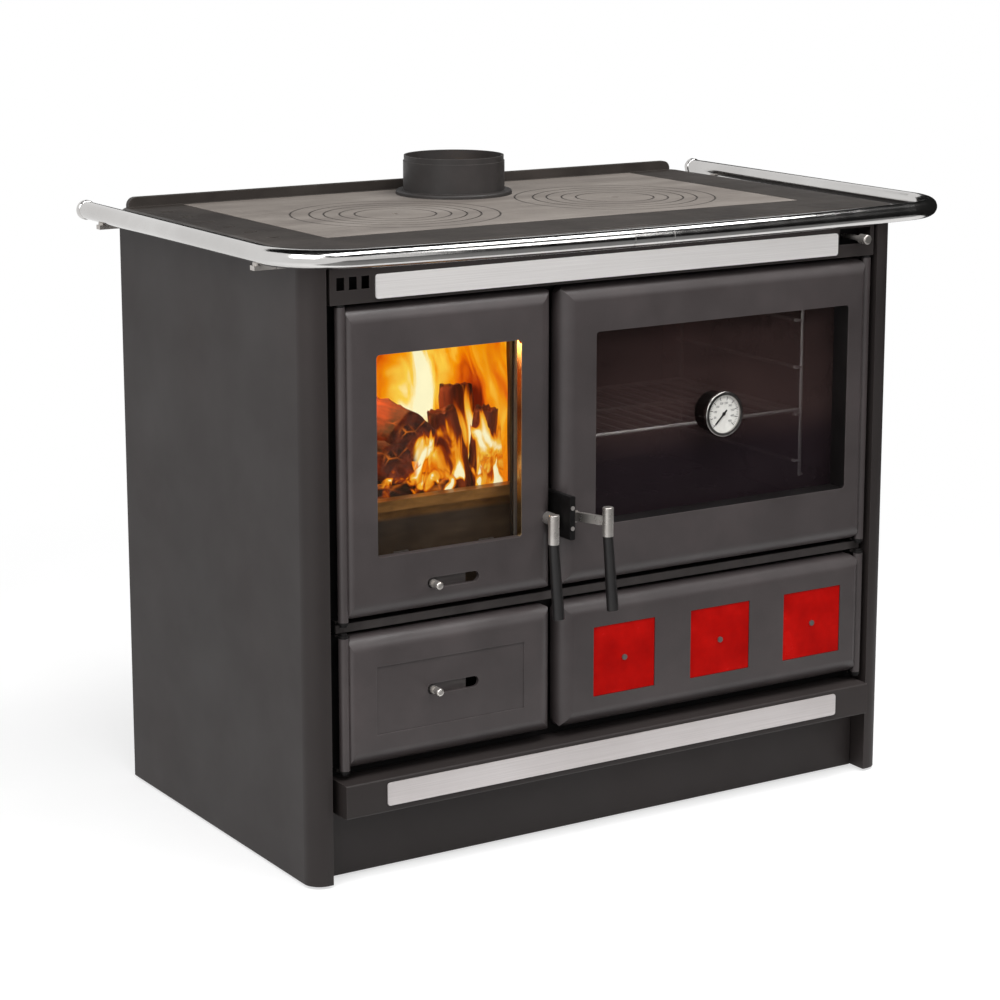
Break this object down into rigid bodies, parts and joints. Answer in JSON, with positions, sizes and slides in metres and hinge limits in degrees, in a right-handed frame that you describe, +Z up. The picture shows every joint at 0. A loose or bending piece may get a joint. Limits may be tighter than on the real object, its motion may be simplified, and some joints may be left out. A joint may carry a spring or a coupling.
{
  "type": "wood cookstove",
  "caption": "Freestanding wood-burning cookstove with a glazed fire door, a glazed oven with a thermometer, lift-out hob rings, a wrap-around rail and a tiled lower door.",
  "frame": {"origin": "on the floor, under the middle of the overall width and depth", "axes": "+X towards the oven side, +Y towards the flue and the back, +Z up"},
  "size_m": [1.084, 0.6815, 0.904],
  "materials": {
    "outer_paint": "matte",
    "frame_paint": "matte",
    "door_iron": "matte",
    "hob_iron": "satin",
    "top_iron": "satin",
    "spigot_iron": "matte",
    "lining_iron": "matte",
    "inner_sheet": "matte",
    "oven_enamel": "gloss",
    "oven_wire": "polished",
    "trim_steel": "brushed",
    "rail_chrome": "satin",
    "fitting_chrome": "polished",
    "slide_steel": "brushed",
    "foot_steel": "satin",
    "grip_black": "satin",
    "fire_glass": "clear",
    "oven_glass": "tinted",
    "rope_seal": "woven",
    "dial_face": "satin",
    "needle_red": "satin",
    "tile_glaze": "gloss"
  },
  "bodies": {
    "stove": {"side_panel_left": "outer_paint", "side_panel_right": "outer_paint", "back_panel": "outer_paint", "base_tray": "outer_paint", "levelling_feet": "foot_steel", "plinth": "outer_paint", "bottom_bar": "outer_paint", "trim_strips": "trim_steel", "fascia": "outer_paint", "front_frame": "frame_paint", "hinge_pins": "frame_paint", "latch_keeper": "frame_paint", "top_frame": "top_iron", "hob_plate": "hob_iron", "flue_spigot": "spigot_iron", "hand_rail": "rail_chrome", "rail_end_caps": "rail_chrome", "rail_brackets": "fitting_chrome", "firebox_casing": "inner_sheet", "oven_casing": "inner_sheet", "firebox_side_left": "lining_iron", "firebox_side_right": "lining_iron", "firebox_back": "lining_iron", "hearth_plate": "lining_iron", "fire_grate": "lining_iron", "log_retainer": "lining_iron", "ash_pan": "inner_sheet", "oven_box": "oven_enamel", "oven_guides": "oven_wire", "oven_shelf": "oven_wire", "flue_baffle": "inner_sheet"},
    "fire_door": {"fire_door": "door_iron", "fire_door_glass": "fire_glass", "fire_glass_clips": "foot_steel", "fire_door_gasket": "rope_seal"},
    "fire_air": {"fire_air_slide": "slide_steel", "fire_air_knob": "fitting_chrome"},
    "fire_handle": {"fire_handle_arm": "fitting_chrome", "fire_handle_grip": "grip_black"},
    "ash_door": {"ash_door": "door_iron", "ash_door_gasket": "rope_seal"},
    "ash_air": {"ash_air_slide": "slide_steel", "ash_air_knob": "fitting_chrome"},
    "oven_door": {"oven_door": "door_iron", "oven_door_glass": "oven_glass", "oven_glass_clips": "foot_steel", "oven_door_gasket": "rope_seal", "gauge_case": "fitting_chrome", "gauge_dial": "dial_face"},
    "needle": {"gauge_needle": "needle_red"},
    "oven_handle": {"oven_handle_arm": "fitting_chrome", "oven_handle_grip": "grip_black"},
    "tile_door": {"tile_door": "door_iron", "red_tiles": "tile_glaze", "tile_screws": "foot_steel"},
    "damper": {"damper_slide": "fitting_chrome"},
    "ring_left": {"hob_ring_left": "hob_iron"},
    "disc_left": {"hob_disc_left": "hob_iron"},
    "ring_right": {"hob_ring_right": "hob_iron"},
    "disc_right": {"hob_disc_right": "hob_iron"}
  },
  "joints": [
    {"name": "fire_door_hinge", "type": "hinge", "parent": "stove", "child": "fire_door", "pos_m": [-0.425, -0.22225, 0.565], "axis": [0, 0, -1], "range_deg": [0, 110]},
    {"name": "fire_air_travel", "type": "slide", "parent": "fire_door", "child": "fire_air", "axis": [1, 0, 0], "range_m": [0, 0.0644]},
    {"name": "fire_handle_turn", "type": "hinge", "parent": "fire_door", "child": "fire_handle", "pos_m": [-0.114, -0.23125, 0.46], "axis": [0, 1, 0], "range_deg": [0, 60]},
    {"name": "ash_door_hinge", "type": "hinge", "parent": "stove", "child": "ash_door", "pos_m": [-0.425, -0.22225, 0.246], "axis": [0, 0, -1], "range_deg": [0, 110]},
    {"name": "ash_air_travel", "type": "slide", "parent": "ash_door", "child": "ash_air", "axis": [1, 0, 0], "range_m": [0, 0.0644]},
    {"name": "oven_door_hinge", "type": "hinge", "parent": "stove", "child": "oven_door", "pos_m": [0.435, -0.22225, 0.565], "axis": [0, 0, 1], "range_deg": [0, 110]},
    {"name": "oven_handle_turn", "type": "hinge", "parent": "oven_door", "child": "oven_handle", "pos_m": [-0.078, -0.23125, 0.46], "axis": [0, -1, 0], "range_deg": [0, 60]},
    {"name": "gauge_needle_turn", "type": "hinge", "parent": "oven_door", "child": "needle", "pos_m": [0.1815, -0.23125, 0.571], "axis": [0, 1, 0], "range_deg": [0, 270], "stiffness_Nm_per_rad": 0.0002},
    {"name": "tile_door_hinge", "type": "hinge", "parent": "stove", "child": "tile_door", "pos_m": [0.435, -0.22225, 0.246], "axis": [0, 0, 1], "range_deg": [0, 110]},
    {"name": "damper_pull", "type": "slide", "parent": "stove", "child": "damper", "axis": [0, -1, 0], "range_m": [0, 0.04]},
    {"name": "ring_left_lift", "type": "slide", "parent": "stove", "child": "ring_left", "axis": [0, 0, 1], "range_m": [0, 0.12]},
    {"name": "disc_left_lift", "type": "slide", "parent": "ring_left", "child": "disc_left", "axis": [0, 0, 1], "range_m": [0, 0.12]},
    {"name": "ring_right_lift", "type": "slide", "parent": "stove", "child": "ring_right", "axis": [0, 0, 1], "range_m": [0, 0.12]},
    {"name": "disc_right_lift", "type": "slide", "parent": "ring_right", "child": "disc_right", "axis": [0, 0, 1], "range_m": [0, 0.12]}
  ]
}
